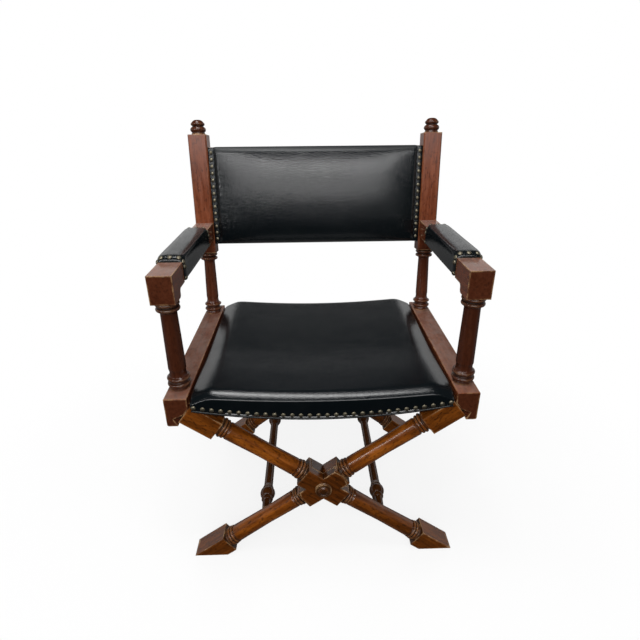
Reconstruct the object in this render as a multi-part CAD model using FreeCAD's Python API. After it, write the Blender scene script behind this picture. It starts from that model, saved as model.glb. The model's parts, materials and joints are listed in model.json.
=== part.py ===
import FreeCAD, Part
import math
import os

V = FreeCAD.Vector

# Folding armchair: two turned X frames, two upright arm sides, soft seat and back between them.
# +X is to the right in a front view, the front faces -Y, the floor is z = 0, all in mm.

# crossed legs
leg_w = 44.0            # square stock of a leg
leg_tilt = 36.7         # degrees above the floor when open
fold_turn = 28.0        # degrees each leg turns to fold
cross_half = 53.0       # half length of the crossing block
collar_len = 23.0       # turned collar beside each block
collar_r = 21.0
shaft_r = 17.2          # middle of a leg shaft
shaft_end_r = 18.6      # where the shaft flares into a collar
foot_s = 264.0          # pivot to the foot block, along the leg
top_s = 261.0           # pivot to the top block, along the leg
lap = 16.0              # thickness of the outer leg's half where the two cross
lap_gap = 0.2
turn_gap = 0.35         # clearance of what turns past wood
cut_steps = 10          # positions of the fold used to shape a notch

# pins and bolts
pin_r = 4.0
pin_in = 12.4           # hinge pin from the inner face of the rail
pin_down = 32.3         # hinge pin below the rail top
pin_wall = 6.0          # wood left in front of the hinge pin
run_gap = 0.05          # radial running clearance on pins and bolts
shoulder = 5.0          # hinge pin to the leg shoulder
tongue_w = 16.0
tongue_r = 18.0
bolt_r = 4.0
bolt_head_r = 9.0
bolt_head_h = 4.0
washer_r = 10.0
washer_t = 1.6
nut_af = 13.0
nut_h = 6.5
boss_r = 17.5
boss_h = 10.0

# stretchers
stretch_s = 161.4       # pivot to the stretcher, along the leg
stretch_r = 10.4
stretch_end_r = 9.4
knob_r = 17.2
knob_len = 48.0
knob_from = 66.0        # leg centre to the knob centre
knob_ring = 2.6         # rings beside the knob stand proud of the spindle
stretch_tenon_r = 6.0
stretch_tenon = 14.0

# rails
rail_x = 281.0
rail_w = 44.0
rail_h = 62.0
rail_top = 425.0
rail_len = 458.0
rail_end_r = 42.0       # rounded outer rear corner, seen from above
rail_ease = 2.0

# posts and arms
tenon_r = 7.0
tenon_len = 22.0
fit_gap = 0.1
front_post_y = 46.0     # from the front of the rail
front_shaft_r = 16.4
bead_r = 22.4
back_post_in = 43.5     # back post axis where it meets the rail, from the rail's rear end
back_shaft_r = 14.6
back_bead_r = 21.5
post_w = 44.0
post_rake = 6.35        # degrees
spindle_len = 162.0     # turned part of the back post, along the rake
post_len = 282.0        # square part, along the rake
post_ease = 3.0
finial_r = 18.5
finial_h = 33.0
arm_w = 45.0
arm_up = 238.5          # arm top above the rail top
block_h = 54.5
block_len = 77.0
arm_front = 21.0
arm_h = 38.5            # behind the block
ogee_y = 62.0           # back of the block's lower part
ogee_r = 7.0
core_w = 36.0
core_down = 6.5         # arm top to the top of the core
core_h = 26.0
pad_w = 48.0
pad_up = 4.5            # pad above the arm top
pad_h = 45.5
pad_len = 241.0
pad_round = 9.0
pad_crown = 4.0
pad_low_round = 5.0
pad_nail_edge = 1.8     # nail rim to the end of the pad
stub_w = 42.0           # arm behind the pad
arm_tenon_w = 18.0
arm_tenon_h = 14.0
arm_tenon_len = 18.0

# seat
soft_gap = 0.5
seat_lip = 7.0          # the lip hangs in front of the legs
seat_rear_in = 2.0      # rear edge of the seat, from the rail's rear end
seat_up = 16.0          # sides of the seat above the rail top
seat_down = 21.0        # its side edges below the rail top
seat_sag = 15.0         # how far its top sags in the middle
seat_lip_sag = 25.0     # and its lower edge
seat_roll = 20.0        # front edge
seat_rear_roll = 12.0
seat_side_round = 9.0
sling_t = 2.6
sling_gap = 0.3         # sling below the seat, and lining behind the back
batten_in = 3.0         # battens and sling clear the legs
batten_w = 14.0
batten_h = 26.0
batten_drop = 29.0      # rail top to batten top
batten_screws = 5
screw_in = 30.0         # end screw from the end of its batten
welt_r = 2.2
welt_gap = 0.3
seat_nail_pitch = 16.9
seat_nail_in = 12.5     # end nail of the front edge, from the side of the seat
seat_rear_nail_in = 22.0
seat_nail_up = 7.0      # nail centre above the lower front edge
nail_r = 4.7
nail_h = 2.6
nail_gap = 0.1
pad_nail_step = 13.0
pad_nail_up = 8.7       # lowest side nail above the pad's underside
pad_nail_low = 13.8     # highest side nail below the pad's top

# back
back_up = 184.0         # lower edge of the back above the rail top
back_tall = 229.0       # its height, measured plumb
strip_w = 15.0          # flat nailed strip at each side
strip_set = 4.0         # strip behind the front face of the post
strip_t = 3.5
back_roll = 17.0
back_crown = 26.0
back_edge = 8.0
back_thick = 20.0
back_round = 15.0       # rolled top and bottom edges
lining_t = 2.0
back_batten_t = 18.0
back_nail_pitch = 15.8
back_nail_end = 8.0     # least distance of the end nails from the edges of the back
back_nail_in = 6.75     # nail row from the post
screw_head_r = 4.0
screw_head_h = 2.2

# what follows from the sizes above
half_leg = leg_w / 2
tilt = math.radians(leg_tilt)
rail_bottom = rail_top - rail_h
rail_in = rail_x - rail_w / 2
rail_out = rail_x + rail_w / 2
hub_r = half_leg / math.cos(math.radians(leg_tilt + fold_turn))
pin_x = rail_in + pin_in
pin_z = rail_top - pin_down
cross_z = pin_z - pin_x * math.tan(tilt)
pin_s = pin_x / math.cos(tilt)
back_post_y = rail_len - back_post_in
arm_top = rail_top + arm_up
arm_bottom = arm_top - block_h
arm_back_low = arm_top - arm_h
rake = math.radians(post_rake)
core_top = arm_top - core_down
core_bottom = core_top - core_h
pad_start = arm_front + block_len
pad_end = pad_start + pad_len
pad_top = arm_top + pad_up
pad_bottom = pad_top - pad_h
seat_front = -seat_lip
seat_rear = rail_len - seat_rear_in
seat_side_top = rail_top + seat_up
seat_side_bottom = rail_top - seat_down
seat_mid_top = seat_side_top - seat_sag
seat_mid_bottom = seat_side_bottom - seat_lip_sag
post_rear_top = (back_post_y + post_w / 2 * math.cos(rake)
                 + (spindle_len + post_len) * math.sin(rake))
front_most = -lap_gap - boss_h
rear_most = max(rail_len - front_most, post_rear_top)
shift_y = -(front_most + rear_most) / 2
mid_y = rail_len / 2
nodes = {}


def box(x0, x1, y0, y1, z0, z1):
    return Part.makeBox(x1 - x0, y1 - y0, z1 - z0, V(x0, y0, z0))


def rod(radius, start, end):
    line = end - start
    return Part.makeCylinder(radius, line.Length, start, line)


def one(shape):
    """The single solid of a boolean result, with coplanar faces merged."""
    return shape.removeSplitter().Solids[0]


def flip_x(shape):
    return shape.mirror(V(0, 0, 0), V(1, 0, 0))


def flip_y(shape):
    return shape.mirror(V(0, mid_y, 0), V(0, 1, 0))


def save(name, *shapes):
    """Keep shapes as one node, moved into the frame of the finished part."""
    kept = [s.copy() for s in shapes]
    for s in kept:
        s.translate(V(0, shift_y, 0))
    nodes[name] = kept[0] if len(kept) == 1 else Part.makeCompound(kept)


def turned(profile):
    """Revolve (radius, height) corners about Z. A third value makes the span
    from the corner before it a bead (positive) or a hollow (negative) of that
    depth."""
    edges = []
    last = V(0, 0, profile[0][1])
    for corner in profile:
        point = V(corner[0], 0, corner[1])
        bulge = corner[2] if len(corner) > 2 else 0.0
        if (point - last).Length > 1e-6:
            if bulge:
                span = point - last
                side = V(span.z, 0, -span.x).normalize()
                middle = (point + last) * 0.5 + side * bulge
                edges.append(Part.Arc(last, middle, point).toShape())
            else:
                edges.append(Part.makeLine(last, point))
        last = point
    end = V(0, 0, last.z)
    if (end - last).Length > 1e-6:
        edges.append(Part.makeLine(last, end))
    edges.append(Part.makeLine(end, V(0, 0, profile[0][1])))
    face = Part.Face(Part.Wire(edges))
    return face.revolve(V(0, 0, 0), V(0, 0, 1), 360).Solids[0]


def mirrored(profile, middle):
    """The same corners seen upside down, about the height `middle`."""
    flipped = []
    bulge = 0.0
    for corner in profile[::-1]:
        flipped.append((corner[0], 2 * middle - corner[1], bulge))
        bulge = corner[2] if len(corner) > 2 else 0.0
    return flipped


def leg_turning(start, end):
    """One turned length of a leg, between two square blocks."""
    low = collar_r - 3.4
    collar = [(collar_r - 1.2, 0.0), (collar_r - 1.2, 0.10), (low, 0.16), (low, 0.24),
              (low, 0.50, 3.4), (low - 0.6, 0.54), (low - 0.6, 0.80, 2.8),
              (low - 1.4, 0.84), (shaft_end_r, 1.0)]
    near = [(c[0], start + c[1] * collar_len, *c[2:]) for c in collar]
    middle = (start + end) / 2
    return turned(near + [(shaft_r, middle)] + mirrored(near, middle))


def leg_strip(turn, reach, half, low, high, start=0.0):
    """A straight bar from the origin, at an angle about Y, used to cut notches."""
    bar = box(start, reach, low, high, -half, half)
    bar.rotate(V(0, 0, 0), V(0, 1, 0), -turn)
    return bar


def swept(make, first, last):
    """Union of the same bar at each step of the fold."""
    bars = [make(first + (last - first) * k / cut_steps) for k in range(cut_steps + 1)]
    return bars[0].fuse(bars[1:])


def leg(outer):
    """A leg along +X from the pivot at the origin, outer face at y = 0."""
    end_s = (cross_z + leg_w) / math.sin(tilt) + leg_w
    blocks = [box(-end_s, -foot_s, 0, leg_w, -half_leg, half_leg),
              box(-cross_half, cross_half, 0, leg_w, -half_leg, half_leg),
              box(top_s, pin_s - shoulder, 0, leg_w, -half_leg, half_leg)]
    tongue_y = (leg_w - tongue_w) / 2
    tongue = box(pin_s - shoulder - 1, pin_s, tongue_y, tongue_y + tongue_w, -tongue_r, tongue_r)
    eye = rod(tongue_r, V(pin_s, tongue_y, 0), V(pin_s, tongue_y + tongue_w, 0))
    runs = []
    for start, end in ((-foot_s, -cross_half), (cross_half, top_s)):
        run = leg_turning(start, end)
        run.rotate(V(0, 0, 0), V(0, 1, 0), 90)
        run.translate(V(0, half_leg, 0))
        runs.append(run)
    whole = blocks[0].fuse(blocks[1:] + runs + [tongue, eye])
    own = (0, lap) if outer else (lap + lap_gap, leg_w)
    other = (lap, leg_w + 1) if outer else (-1, lap + lap_gap)
    whole = whole.cut(rod(hub_r + turn_gap, V(0, other[0], 0), V(0, other[1], 0)))
    wings = leg_strip(-2 * leg_tilt, cross_half, half_leg, own[0], own[1], -cross_half)
    whole = whole.fuse(wings.common(rod(hub_r, V(0, own[0], 0), V(0, own[1], 0))))
    whole = whole.cut(rod(bolt_r + run_gap, V(0, -1, 0), V(0, leg_w + 1, 0)))
    whole = whole.cut(rod(pin_r + run_gap, V(pin_s, -1, 0), V(pin_s, leg_w + 1, 0)))
    socket = rod(stretch_tenon_r + fit_gap, V(-stretch_s, half_leg + shaft_r - stretch_tenon, 0),
                 V(-stretch_s, leg_w, 0))
    whole = whole.cut(socket)
    whole.rotate(V(0, 0, 0), V(0, 1, 0), -leg_tilt)
    whole.translate(V(0, 0, cross_z))
    floor = box(-2 * end_s, 2 * end_s, -1, leg_w + 1, -end_s, 0)
    return one(whole.cut(floor))


def make_legs():
    front_a = flip_x(leg(True))
    front_b = leg(False)
    save("leg_front_a", front_a)
    save("leg_front_b", front_b)
    save("leg_rear_a", flip_y(front_a))
    save("leg_rear_b", flip_y(front_b))


def make_stretchers():
    start = half_leg + shaft_r + turn_gap
    end = rail_len - start
    knob = knob_from + half_leg
    half = knob_len / 2
    neck = stretch_r + knob_ring
    ring = [(stretch_r, knob - half), (neck, knob - half * 0.62, knob_ring / 2),
            (stretch_r + knob_ring / 2, knob - half * 0.56), (neck, knob - half * 0.5),
            (neck, knob + half * 0.5, knob_r - neck),
            (stretch_r + knob_ring / 2, knob + half * 0.56),
            (neck, knob + half * 0.62), (stretch_r, knob + half)]
    back = mirrored(ring, mid_y)
    profile = [(stretch_tenon_r, start - stretch_tenon + 1), (stretch_tenon_r, start),
               (stretch_end_r, start)] + ring + back
    profile += [(stretch_end_r, end), (stretch_tenon_r, end),
                (stretch_tenon_r, end + stretch_tenon - 1)]
    spindle = turned(profile)
    spindle.rotate(V(0, 0, 0), V(1, 0, 0), -90)
    x = stretch_s * math.cos(tilt)
    z = cross_z - stretch_s * math.sin(tilt)
    right = spindle.copy()
    right.translate(V(x, 0, z))
    save("stretcher_right", right)
    save("stretcher_left", flip_x(right))


def make_pivots():
    hub = V(0, 0, cross_z)
    way = V(0, 1, 0)
    face = -lap_gap
    end = leg_w + lap_gap + washer_t + nut_h + 4
    head = rod(bolt_head_r, hub + way * (face - bolt_head_h), hub + way * face)
    bolt = one(head.fuse(rod(bolt_r, hub + way * (face - 0.5), hub + way * end)))
    ring = turned([(boss_r, 0), (boss_r, 2.0), (boss_r - 1.5, 3.2), (boss_r - 1.5, 6.2, 1.5),
                   (boss_r - 4.6, 6.6), (boss_r - 6.0, 5.4), (boss_r - 8.0, 7.0),
                   (0.4, boss_h, 1.2)])
    ring.rotate(V(0, 0, 0), V(1, 0, 0), 90)
    ring.translate(hub + way * face)
    boss = ring.cut(rod(bolt_head_r + run_gap, hub + way * (face - bolt_head_h - run_gap),
                        hub + way * (face + 1)))
    boss = one(boss)
    washer = rod(washer_r, hub + way * (leg_w + lap_gap), hub + way * (leg_w + lap_gap + washer_t))
    washer = one(washer.cut(rod(bolt_r + run_gap, hub, hub + way * end)))
    seat = leg_w + lap_gap + washer_t
    reach = nut_af / 2 / math.cos(math.pi / 6)
    corners = [V(reach * math.cos(k * math.pi / 3), seat, cross_z + reach * math.sin(k * math.pi / 3))
               for k in range(7)]
    nut = Part.Face(Part.makePolygon(corners)).extrude(V(0, nut_h, 0))
    nut = one(nut.cut(rod(bolt_r + run_gap, hub, hub + way * (end + 1))))
    save("pivot_bolt_front", bolt)
    save("pivot_bolt_rear", flip_y(bolt))
    save("boss_front", boss)
    save("boss_rear", flip_y(boss))
    save("pivot_washers", washer, flip_y(washer))
    save("pivot_nuts", nut, flip_y(nut))


def rail_notch():
    """What the top of a front leg needs in the right rail, over the whole fold."""
    deep = leg_w + turn_gap
    wide = half_leg + turn_gap
    slot_y = (leg_w - tongue_w) / 2 - turn_gap
    slot_end = slot_y + tongue_w + 2 * turn_gap
    reach = rail_w + rail_h

    def body(turn):
        return leg_strip(180 + turn, reach, wide, -1, deep, shoulder - turn_gap)

    def tongue(turn):
        return leg_strip(180 + turn, shoulder + 2, tongue_r + turn_gap, slot_y, slot_end)

    eye = rod(tongue_r + turn_gap, V(0, slot_y, 0), V(0, slot_end, 0))
    last = leg_tilt + fold_turn
    notch = swept(body, leg_tilt, last).fuse([swept(tongue, leg_tilt, last), eye])
    notch.translate(V(pin_x, 0, pin_z))
    return notch


def make_rails():
    bar = box(rail_in, rail_out, 0, rail_len, rail_bottom, rail_top)
    corner = [e for e in bar.Edges if abs(e.CenterOfMass.x - rail_out) < 1e-6
              and abs(e.CenterOfMass.y - rail_len) < 1e-6]
    bar = bar.makeFillet(rail_end_r, corner)
    low = [e for e in bar.Edges if abs(e.CenterOfMass.z - rail_bottom) < 1e-6
           and abs(e.CenterOfMass.x - rail_out) < 1e-6]
    bar = bar.makeFillet(rail_ease * 2, low)
    high = [e for e in bar.Edges if abs(e.CenterOfMass.z - rail_top) < 1e-6]
    bar = bar.makeChamfer(rail_ease / 2, high)
    notch = rail_notch()
    bar = bar.cut(notch.fuse(flip_y(notch)))
    pin = rod(pin_r, V(pin_x, pin_wall, pin_z), V(pin_x, leg_w - pin_wall, pin_z))
    bore = rod(pin_r + run_gap / 2, V(pin_x, pin_wall, pin_z), V(pin_x, leg_w + 1, pin_z))
    bar = bar.cut(bore.fuse(flip_y(bore)))
    for y in (front_post_y, back_post_y):
        bar = bar.cut(rod(tenon_r + fit_gap, V(rail_x, y, rail_top - tenon_len - fit_gap),
                          V(rail_x, y, rail_top + 1)))
    bar = one(bar)
    save("rail_right", bar)
    save("rail_left", flip_x(bar))
    save("leg_pins_right", pin, flip_y(pin))
    save("leg_pins_left", flip_x(pin), flip_x(flip_y(pin)))


def post_profile(low, high, shaft, bead, neck):
    """Corners of a turned post: beads at both ends and a slim shaft."""
    span = high - low
    return [(bead - 3.5, low),
            (bead - 3.5, low + 3), (bead - 4.5, low + 6), (bead - 3.4, low + 7),
            (bead - 3.4, low + 15, 3.4), (bead - 5.0, low + 16.5), (bead - 5.0, low + 18.5),
            (bead - 3.4, low + 20), (bead - 3.4, low + 27, 3.2), (bead - 5.2, low + 28.5),
            (neck, low + 44, -1.2), (shaft, low + span * 0.55), (shaft - 1.0, high - 26),
            (shaft + 0.6, high - 20, -0.5), (bead - 3.4, high - 19),
            (bead - 3.4, high - 11.5, 3.3), (bead - 5.0, high - 10.5), (bead - 3.2, high - 9),
            (bead - 3.2, high - 1.5, 3.2), (bead - 4.0, high)]


def lean(shape):
    """Move a shape built on the back post's own axis, base at the origin, into place."""
    moved = shape.copy()
    moved.rotate(V(0, 0, 0), V(1, 0, 0), -post_rake)
    moved.translate(V(0, back_post_y, rail_top))
    return moved


def make_posts():
    ends = [(tenon_r, arm_bottom), (tenon_r, arm_bottom + tenon_len)]
    front = turned([(tenon_r, rail_top - tenon_len), (tenon_r, rail_top)]
                   + post_profile(rail_top, arm_bottom, front_shaft_r, bead_r, front_shaft_r + 0.8)
                   + ends)
    front.translate(V(rail_x, front_post_y, 0))
    save("front_post_right", front)
    save("front_post_left", flip_x(front))
    below = [(back_bead_r - 3.5, -4)]
    spindle = turned(below + post_profile(0, spindle_len, back_shaft_r, back_bead_r, back_shaft_r + 0.8)
                     + [(back_bead_r - 4.0, spindle_len + 4)])
    square = box(-post_w / 2, post_w / 2, -post_w / 2, post_w / 2, spindle_len, spindle_len + post_len)
    upright = [e for e in square.Edges if abs(e.CenterOfMass.z - spindle_len - post_len / 2) < 1e-6]
    square = square.makeChamfer(post_ease, upright)
    finial = turned([(finial_r * 0.42, -18), (finial_r * 0.42, 0), (finial_r - 2.2, 0),
                     (finial_r - 2.2, 2.5), (finial_r - 3.6, 4), (finial_r - 3.6, 6),
                     (finial_r - 3.2, 17, 3.2), (finial_r - 5.6, 18), (finial_r - 5.2, 20),
                     (finial_r - 4.6, 27.5, 2.6), (1.0, finial_h, 2.4)])
    finial.translate(V(rail_x, 0, spindle_len + post_len))
    hole = rod(finial_r * 0.42 + fit_gap, V(0, 0, spindle_len + post_len - 19),
               V(0, 0, spindle_len + post_len + 1))
    post = square.fuse(spindle).cut(hole)
    post.translate(V(rail_x, 0, 0))
    square.translate(V(rail_x, 0, 0))
    square = lean(square)
    post = lean(post).cut(box(rail_in - 9, rail_out + 9, back_post_y - post_w, rail_len + 9,
                              rail_bottom, rail_top))
    post = post.fuse(rod(tenon_r, V(rail_x, back_post_y, rail_top - tenon_len),
                         V(rail_x, back_post_y, rail_top + 5)))
    tenon_z = (arm_top + arm_back_low) / 2
    post = one(post.cut(arm_tenon(tenon_z, fit_gap)))
    save("back_post_right", post)
    save("back_post_left", flip_x(post))
    save("finial_right", lean(finial))
    save("finial_left", flip_x(lean(finial)))
    return square, tenon_z


def arm_tenon(z, gap):
    face = back_post_y - post_w / 2 / math.cos(rake) + (z - rail_top) * math.tan(rake)
    return box(rail_x - arm_tenon_w / 2 - gap, rail_x + arm_tenon_w / 2 + gap, face - 12,
               face + arm_tenon_len + gap, z - arm_tenon_h / 2 - gap, z + arm_tenon_h / 2 + gap)


def make_arms(square, tenon_z):
    """Wooden arm: square block at the front, ogee under it, slim core for the pad."""
    low = arm_bottom
    y0 = arm_front
    step = ogee_y - ogee_r
    waist = ogee_y
    root2 = ogee_r * math.sqrt(0.5)
    top_of = arm_back_low
    side = [Part.makeLine(V(0, y0, low), V(0, step, low)),
            Part.Arc(V(0, step, low), V(0, step + root2, low + ogee_r - root2),
                     V(0, waist, low + ogee_r)).toShape(),
            Part.makeLine(V(0, waist, low + ogee_r), V(0, waist, top_of - ogee_r)),
            Part.Arc(V(0, waist, top_of - ogee_r),
                     V(0, waist + ogee_r - root2, top_of - ogee_r + root2),
                     V(0, waist + ogee_r, top_of)).toShape()]
    far = back_post_y + post_w / 2
    side += [Part.makeLine(V(0, waist + ogee_r, top_of), V(0, far, top_of)),
             Part.makeLine(V(0, far, top_of), V(0, far, arm_top)),
             Part.makeLine(V(0, far, arm_top), V(0, y0, arm_top)),
             Part.makeLine(V(0, y0, arm_top), V(0, y0, low))]
    arm = Part.Face(Part.Wire(side)).extrude(V(arm_w, 0, 0))
    arm.translate(V(rail_x - arm_w / 2, 0, 0))
    outer = box(rail_x - arm_w, rail_x + arm_w, pad_start, pad_end, arm_bottom - 1, arm_top + 1)
    core = box(rail_x - core_w / 2, rail_x + core_w / 2, pad_start, pad_end, core_bottom, core_top)
    arm = arm.cut(outer.cut(core))
    for side in (-1, 1):
        edge = rail_x + side * stub_w / 2
        arm = arm.cut(box(min(edge, edge + side * arm_w), max(edge, edge + side * arm_w),
                          pad_end, far, arm_bottom, arm_top + 1))
    arm = arm.cut(square)
    arm = max(arm.Solids, key=lambda solid: solid.Volume)
    arm = arm.fuse(arm_tenon(tenon_z, 0.0).cut(box(0, 2 * rail_x, 0, pad_end, 0, 2 * arm_top)))
    arm = arm.cut(rod(tenon_r + fit_gap, V(rail_x, front_post_y, arm_bottom - 1),
                      V(rail_x, front_post_y, arm_bottom + tenon_len + fit_gap)))
    arm = one(arm)
    save("arm_right", arm)
    save("arm_left", flip_x(arm))
    make_arm_pad()


def make_arm_pad():
    """Leather wrapped pad round the arm core, with a crowned top."""
    half = pad_w / 2
    r = pad_round
    k = r * (1 - math.sqrt(0.5))
    x0, x1 = rail_x - half, rail_x + half
    side_z = pad_top - pad_crown
    low_r = pad_low_round
    low = pad_bottom + low_r
    cut = low_r * (1 - math.sqrt(0.5))
    crown = [Part.makeLine(V(x0 + low_r, 0, pad_bottom), V(x1 - low_r, 0, pad_bottom)),
             Part.Arc(V(x1 - low_r, 0, pad_bottom), V(x1 - cut, 0, pad_bottom + cut),
                      V(x1, 0, low)).toShape(),
             Part.makeLine(V(x1, 0, low), V(x1, 0, side_z - r)),
             Part.Arc(V(x1, 0, side_z - r), V(x1 - k, 0, side_z - k),
                      V(x1 - r, 0, side_z)).toShape(),
             Part.Arc(V(x1 - r, 0, side_z), V(rail_x, 0, pad_top), V(x0 + r, 0, side_z)).toShape(),
             Part.Arc(V(x0 + r, 0, side_z), V(x0 + k, 0, side_z - k),
                      V(x0, 0, side_z - r)).toShape(),
             Part.makeLine(V(x0, 0, side_z - r), V(x0, 0, low)),
             Part.Arc(V(x0, 0, low), V(x0 + cut, 0, pad_bottom + cut),
                      V(x0 + low_r, 0, pad_bottom)).toShape()]
    start = pad_start + fit_gap
    end = pad_end - fit_gap
    pad = Part.Face(Part.Wire(crown)).extrude(V(0, end - start, 0))
    pad.translate(V(0, start, 0))
    core = box(rail_x - core_w / 2 - fit_gap, rail_x + core_w / 2 + fit_gap, 0, rail_len,
               core_bottom - fit_gap, core_top + fit_gap)
    pad = one(pad.cut(core))
    save("arm_pad_right", pad)
    save("arm_pad_left", flip_x(pad))
    inset = nail_r + pad_nail_edge
    heads = []
    for y in (start + inset, end - inset):
        for k in (-1, 0, 1):
            x = k * pad_nail_step
            crown_r = ((half - r) ** 2 + pad_crown ** 2) / (2 * pad_crown)
            rise = math.sqrt(crown_r ** 2 - x ** 2)
            heads.append(nail(V(rail_x + x, y, pad_top - crown_r + rise), V(x, 0, rise)))
        for k in (0, 0.5, 1):
            z = pad_bottom + pad_nail_up + k * (pad_h - pad_nail_up - pad_nail_low)
            heads.append(nail(V(x0, y, z), V(-1, 0, 0)))
            heads.append(nail(V(x1, y, z), V(1, 0, 0)))
    save("arm_nails_right", *heads)
    save("arm_nails_left", *[flip_x(h) for h in heads])


def nail(place, way):
    """Domed nail head with its flat side at `place`, pointing along `way`."""
    ball_r = (nail_r ** 2 + nail_h ** 2) / (2 * nail_h)
    low = math.degrees(math.asin((ball_r - nail_h) / ball_r))
    way = way.normalize()
    return Part.makeSphere(ball_r, place + way * (nail_gap + nail_h - ball_r), way, low, 90, 360)


def arc_x(half, side_z, mid_z, y):
    """Edge across the chair that sags from side_z at +-half to mid_z in the middle."""
    return Part.Arc(V(-half, y, side_z), V(0, y, mid_z), V(half, y, side_z)).toShape()


def arc_height(half, side_z, mid_z, x):
    sag = side_z - mid_z
    radius = (half ** 2 + sag ** 2) / (2 * sag)
    return mid_z + radius - math.sqrt(radius ** 2 - x ** 2)


def soft_slab(half, low_side, low_mid, top_side, top_mid, y0, y1):
    wire = Part.Wire([arc_x(half, low_side, low_mid, y0),
                      Part.makeLine(V(half, y0, low_side), V(half, y0, top_side)),
                      arc_x(half, top_side, top_mid, y0),
                      Part.makeLine(V(-half, y0, top_side), V(-half, y0, low_side))])
    return Part.Face(wire).extrude(V(0, y1 - y0, 0)).Solids[0]


def make_seat():
    half = rail_in - soft_gap
    seat = soft_slab(half, seat_side_bottom, seat_mid_bottom, seat_side_top, seat_mid_top,
                     seat_front, seat_rear)
    for y, roll in ((seat_front, seat_roll), (seat_rear, seat_rear_roll)):
        edge = [e for e in seat.Edges if abs(e.CenterOfMass.x) < 1 and abs(e.CenterOfMass.y - y) < 1e-6
                and e.CenterOfMass.z > seat_mid_top - 2]
        seat = seat.makeFillet(roll, edge)
    sides = [e for e in seat.Edges if abs(abs(e.CenterOfMass.x) - half) < 1e-6
             and abs(e.CenterOfMass.z - seat_side_top) < 1e-6]
    seat = seat.makeFillet(seat_side_round, sides)
    room = leg_strip(leg_tilt, pin_s + leg_w, half_leg + 2 * soft_gap, -soft_gap, leg_w + soft_gap, top_s)
    room.translate(V(0, 0, cross_z))
    for cut in (room, flip_x(room), flip_y(room), flip_y(flip_x(room))):
        seat = seat.cut(cut)
    save("seat_cushion", one(seat))
    inner = leg_w + batten_in
    side, mid = seat_side_bottom - sling_gap, seat_mid_bottom - sling_gap
    save("seat_sling", soft_slab(half - 2 * soft_gap, side - sling_t, mid - sling_t, side, mid,
                                 inner, rail_len - inner))
    batten_top = rail_top - batten_drop
    batten = box(rail_in - batten_w, rail_in, inner, rail_len - inner, batten_top - batten_h, batten_top)
    save("seat_batten_right", batten)
    save("seat_batten_left", flip_x(batten))
    screws = []
    for k in range(batten_screws):
        y = inner + screw_in + k * (rail_len - 2 * inner - 2 * screw_in) / (batten_screws - 1)
        x = rail_in - batten_w
        z = batten_top - batten_h / 2
        screws.append(turned([(screw_head_r, 0.0), (screw_head_r * 0.45, screw_head_h, 0.3)]))
        screws[-1].rotate(V(0, 0, 0), V(0, 1, 0), -90)
        screws[-1].translate(V(x, y, z))
    save("batten_screws_right", *screws)
    save("batten_screws_left", *[flip_x(s) for s in screws])
    make_seat_trim(half)


def make_seat_trim(half):
    """Nail row and welt along the lower front and rear edges."""
    welts = []
    for name, y, way, inset in (("front", seat_front, -1, seat_nail_in),
                                ("rear", seat_rear, 1, seat_rear_nail_in)):
        reach = half - inset
        count = int(2 * reach / seat_nail_pitch) + 1
        heads = []
        for k in range(count):
            x = (k - (count - 1) / 2) * 2 * reach / (count - 1)
            z = arc_height(half, seat_side_bottom, seat_mid_bottom, x) + seat_nail_up
            heads.append(nail(V(x, y, z), V(0, way, 0)))
        save("seat_nails_" + name, *heads)
        ends = arc_height(half, seat_side_bottom, seat_mid_bottom, reach)
        low = welt_r + welt_gap
        path = Part.Wire([arc_x(reach, ends - low, seat_mid_bottom - low, y - way * welt_r)])
        start = path.Vertexes[0].Point
        tangent = path.Edges[0].tangentAt(path.Edges[0].FirstParameter)
        ring = Part.Wire([Part.makeCircle(welt_r, start, tangent)])
        welts.append(path.makePipeShell([ring], True, False).Solids[0])
    save("seat_welt", *welts)


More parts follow.
